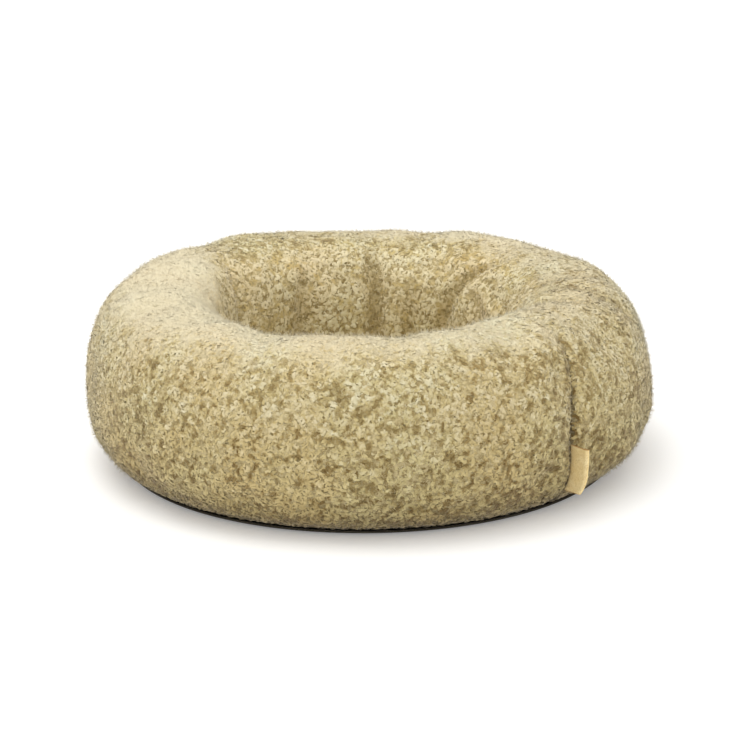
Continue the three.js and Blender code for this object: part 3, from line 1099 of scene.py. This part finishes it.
def make_tab(material):
    """The folded leaf, level by level: its two layers leave the seam side by side and meet in the fold."""
    level = np.sin(np.linspace(-0.5, 0.5, TAB_LEVELS) * math.pi) * 0.5 + 0.5
    to_end = np.minimum(level, 1.0 - level)
    rounding = np.clip(to_end / TAB_ROUNDED_END, 0.0, 1.0) ** 0.5
    heights = TAB_BOTTOM + (TAB_TOP - TAB_BOTTOM) * level
    roots = tab_roots(heights) - TAB_SEWN_IN
    reach = TAB_BOTTOM_REACH + (TAB_TOP_REACH - TAB_BOTTOM_REACH) * level + TAB_SEWN_IN
    angle = math.radians(SEAM_AZIMUTH)
    outwards = np.array([math.sin(angle), -math.cos(angle)])
    sideways = np.array([math.cos(angle), math.sin(angle)])
    outside, inside = [], []
    for share, height, root, length, full in zip(level, heights, roots, reach, rounding):
        path = tab_path(length)
        ahead = unit(np.gradient(path, axis=0))
        away = np.stack([ahead[:, 1], -ahead[:, 0]], axis=-1)
        along = np.linspace(0.0, 1.0, len(path))
        out = path[:, 0] / length
        curl = out ** 2 * (TAB_CURL * math.sin(TAB_CURL_TURN * share + TAB_CURL_START) - TAB_LEAN)
        drop = TAB_RIPPLE * np.sin(TAB_RIPPLE_TURN * along) * out - TAB_SKEW * along
        half = TAB_HALF_SHARE * TAB_LEAF * (TAB_END_SHARE + (1.0 - TAB_END_SHARE) * full)
        for move, line in ((half, outside), (-half, inside)):
            spot = path + away * move
            flat = outwards * (root + spot[:, :1]) + sideways * (spot[:, 1:] + curl[:, None])
            line.append(np.column_stack([flat, height + drop]))
    columns = np.concatenate([np.array(outside), np.array(inside)[:, ::-1]], axis=1)
    rows = columns.shape[1]
    half_way = rows // 2
    body = grid_faces(TAB_LEVELS, rows, True).reshape(TAB_LEVELS, rows, 4)[:-1].reshape(-1, 4)
    across = np.arange(half_way - 1)
    low = np.stack([across, across + 1, rows - 2 - across, rows - 1 - across], axis=-1)
    top = (low + (TAB_LEVELS - 1) * rows)[:, ::-1]
    faces = np.concatenate([body, low, top])
    around = np.linspace(0.0, 1.0, half_way)
    from_fold = np.concatenate([np.abs(around - 0.5), np.abs(around[::-1] - 0.5) + 0.5])
    edge = to_end[:, None] * (TAB_TOP - TAB_BOTTOM) / TAB_EDGE_BAND
    fold = from_fold[None] * 2.0 * TAB_TOP_REACH / TAB_FOLD_BAND
    marks = {"edge": edge, "fold": fold}
    marks = {key: np.broadcast_to(value.clip(0.0, 1.0), columns.shape[:2]) for key, value in marks.items()}
    return make_mesh("tab_leather", columns.reshape(-1, 3), faces, material, marks)


CLOUD_STOPS = [(0.3, linear(238, 216, 158)), (0.7, linear(252, 238, 192))]
PORE_STOPS = [(0.36, linear(178, 150, 108)), (0.5, linear(255, 255, 255))]
TAB_EDGE_STOPS = [(0.0, linear(176, 140, 96)), (0.6, linear(255, 255, 255))]
TAB_FOLD_STOPS = [(0.0, linear(255, 246, 222)), (0.8, linear(236, 230, 220))]
TAB_ROUGH_STOPS = [(0.3, (0.42, 0.42, 0.42, 1.0)), (0.7, (0.66, 0.66, 0.66, 1.0))]


def tab_material():
    """Bare tan leather: fine grain, slow cloudy colour, paler along the fold, darker at the cut edges."""
    white = linear(255, 255, 255)
    material, tree, shader = new_material("tab_leather", roughness=0.55, sheen=0.0, sheen_tint=white)
    shader.inputs["Specular IOR Level"].default_value = 0.35
    cloud = ramp(tree, CLOUD_STOPS, noise(tree, scale=90.0, detail=5.0, roughness=0.6))
    pores = ramp(tree, PORE_STOPS, noise(tree, scale=1500.0, detail=3.0, roughness=0.6))
    colour = mixed(tree, "MULTIPLY", 0.6, cloud, pores)
    for name, stops in (("edge", TAB_EDGE_STOPS), ("fold", TAB_FOLD_STOPS)):
        colour = mixed(tree, "MULTIPLY", 1.0, colour, ramp(tree, stops, attribute(tree, name)))
    tree.links.new(colour, shader.inputs["Base Color"])
    rough = ramp(tree, TAB_ROUGH_STOPS, noise(tree, scale=400.0, detail=4.0))
    tree.links.new(rough, shader.inputs["Roughness"])
    grain = noise(tree, scale=1100.0, detail=4.0, roughness=0.7)
    bump(tree, shader, grain, strength=0.4, distance=0.0004)
    return material


# Camera, light and floor

VIEW_DISTANCE = 3.2
VIEW_ELEVATION = 17.3
VIEW_ROLL = 0.6
VIEW_HEIGHT = 0.079
FOCAL_PIXELS = 3600.0
FRAME_PIXELS = 736.0
SENSOR_WIDTH = 36.0
LIGHT_AIM = (0.0, 0.0, 0.08)
WARM_WHITE = (1.0, 0.995, 0.985)
FILL_WHITE = (1.0, 0.99, 0.98)
SKY_BELOW = (0.36, 0.355, 0.35, 1.0)
SKY_STRENGTH = 1.4
FLOOR_HALF = 9000.0
FLOOR_GREY = 0.84
FLOOR_GLOW = 0.2


def make_camera():
    angle = math.radians(VIEW_ELEVATION)
    back = Vector((0.0, -math.cos(angle), math.sin(angle)))
    camera = bpy.data.objects.new("camera", bpy.data.cameras.new("camera"))
    bpy.context.scene.collection.objects.link(camera)
    camera.location = Vector((0.0, 0.0, VIEW_HEIGHT)) + back * VIEW_DISTANCE
    camera.rotation_mode = "QUATERNION"
    roll = Quaternion((0.0, 0.0, 1.0), -math.radians(VIEW_ROLL))
    camera.rotation_quaternion = (-back).to_track_quat("-Z", "Y") @ roll
    camera.data.sensor_width = SENSOR_WIDTH
    camera.data.lens = FOCAL_PIXELS / FRAME_PIXELS * SENSOR_WIDTH
    camera.data.clip_end = 100.0
    bpy.context.scene.camera = camera


def make_light(name, place, size, watts, colour):
    data = bpy.data.lights.new(name, "AREA")
    data.energy = watts
    data.size = size
    data.color = colour
    lamp = bpy.data.objects.new(name, data)
    bpy.context.scene.collection.objects.link(lamp)
    lamp.location = place
    lamp.rotation_mode = "QUATERNION"
    lamp.rotation_quaternion = (Vector(LIGHT_AIM) - Vector(place)).to_track_quat("-Z", "Y")


def make_studio():
    """A bright room, soft lights from above and from the front, a floor lit a little from within."""
    bpy.context.scene.view_settings.view_transform = "Standard"
    world = bpy.data.worlds.new("studio")
    world.use_nodes = True
    tree = world.node_tree
    place = tree.nodes.new("ShaderNodeTexCoord")
    split = tree.nodes.new("ShaderNodeSeparateXYZ")
    tree.links.new(place.outputs["Generated"], split.inputs["Vector"])
    sky = ramp(tree, [(0.0, SKY_BELOW), (1.0, (*WARM_WHITE, 1.0))], split.outputs["Z"])
    back = tree.nodes["Background"]
    tree.links.new(sky, back.inputs["Color"])
    back.inputs["Strength"].default_value = SKY_STRENGTH
    bpy.context.scene.world = world
    make_light("key", (-0.66, 0.12, 2.22), size=1.6, watts=18.0, colour=WARM_WHITE)
    make_light("fill", (-0.3, -2.2, 1.5), size=1.8, watts=4.3, colour=FILL_WHITE)
    material = bpy.data.materials.new("floor")
    material.use_nodes = True
    shader = material.node_tree.nodes["Principled BSDF"]
    shader.inputs["Base Color"].default_value = (FLOOR_GREY, FLOOR_GREY, FLOOR_GREY, 1.0)
    shader.inputs["Roughness"].default_value = 0.7
    shader.inputs["Emission Color"].default_value = (*WARM_WHITE, 1.0)
    shader.inputs["Emission Strength"].default_value = FLOOR_GLOW
    corners = np.array([[-1.0, -1.0, 0.0], [1.0, -1.0, 0.0], [1.0, 1.0, 0.0], [-1.0, 1.0, 0.0]])
    floor = make_mesh("studio_floor", corners * FLOOR_HALF, np.array([[0, 1, 2, 3]]), material)


# The bed

make_camera()
make_studio()
pile = pile_material("pile")
ground = skin_material("ground")
puckers = simulate_ring()

bolster = make_ring_skin(puckers, ground)
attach(bolster, "root")
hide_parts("bolster")
for piece in make_ring_pile(puckers, pile):
    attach(piece, "root")

fuzz = make_ring_fuzz(puckers, pile)
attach(fuzz, "root")

cushion = make_cushion_skin(ground)
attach(cushion, "root")
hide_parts("floor_cushion")
floor_pile = make_floor_pile(pile)
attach(floor_pile, "root")

base = make_base(base_material())
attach(base, "root")
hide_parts("base_panel")

tab = make_tab(tab_material())
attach(tab, "root")
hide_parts("label_tab")
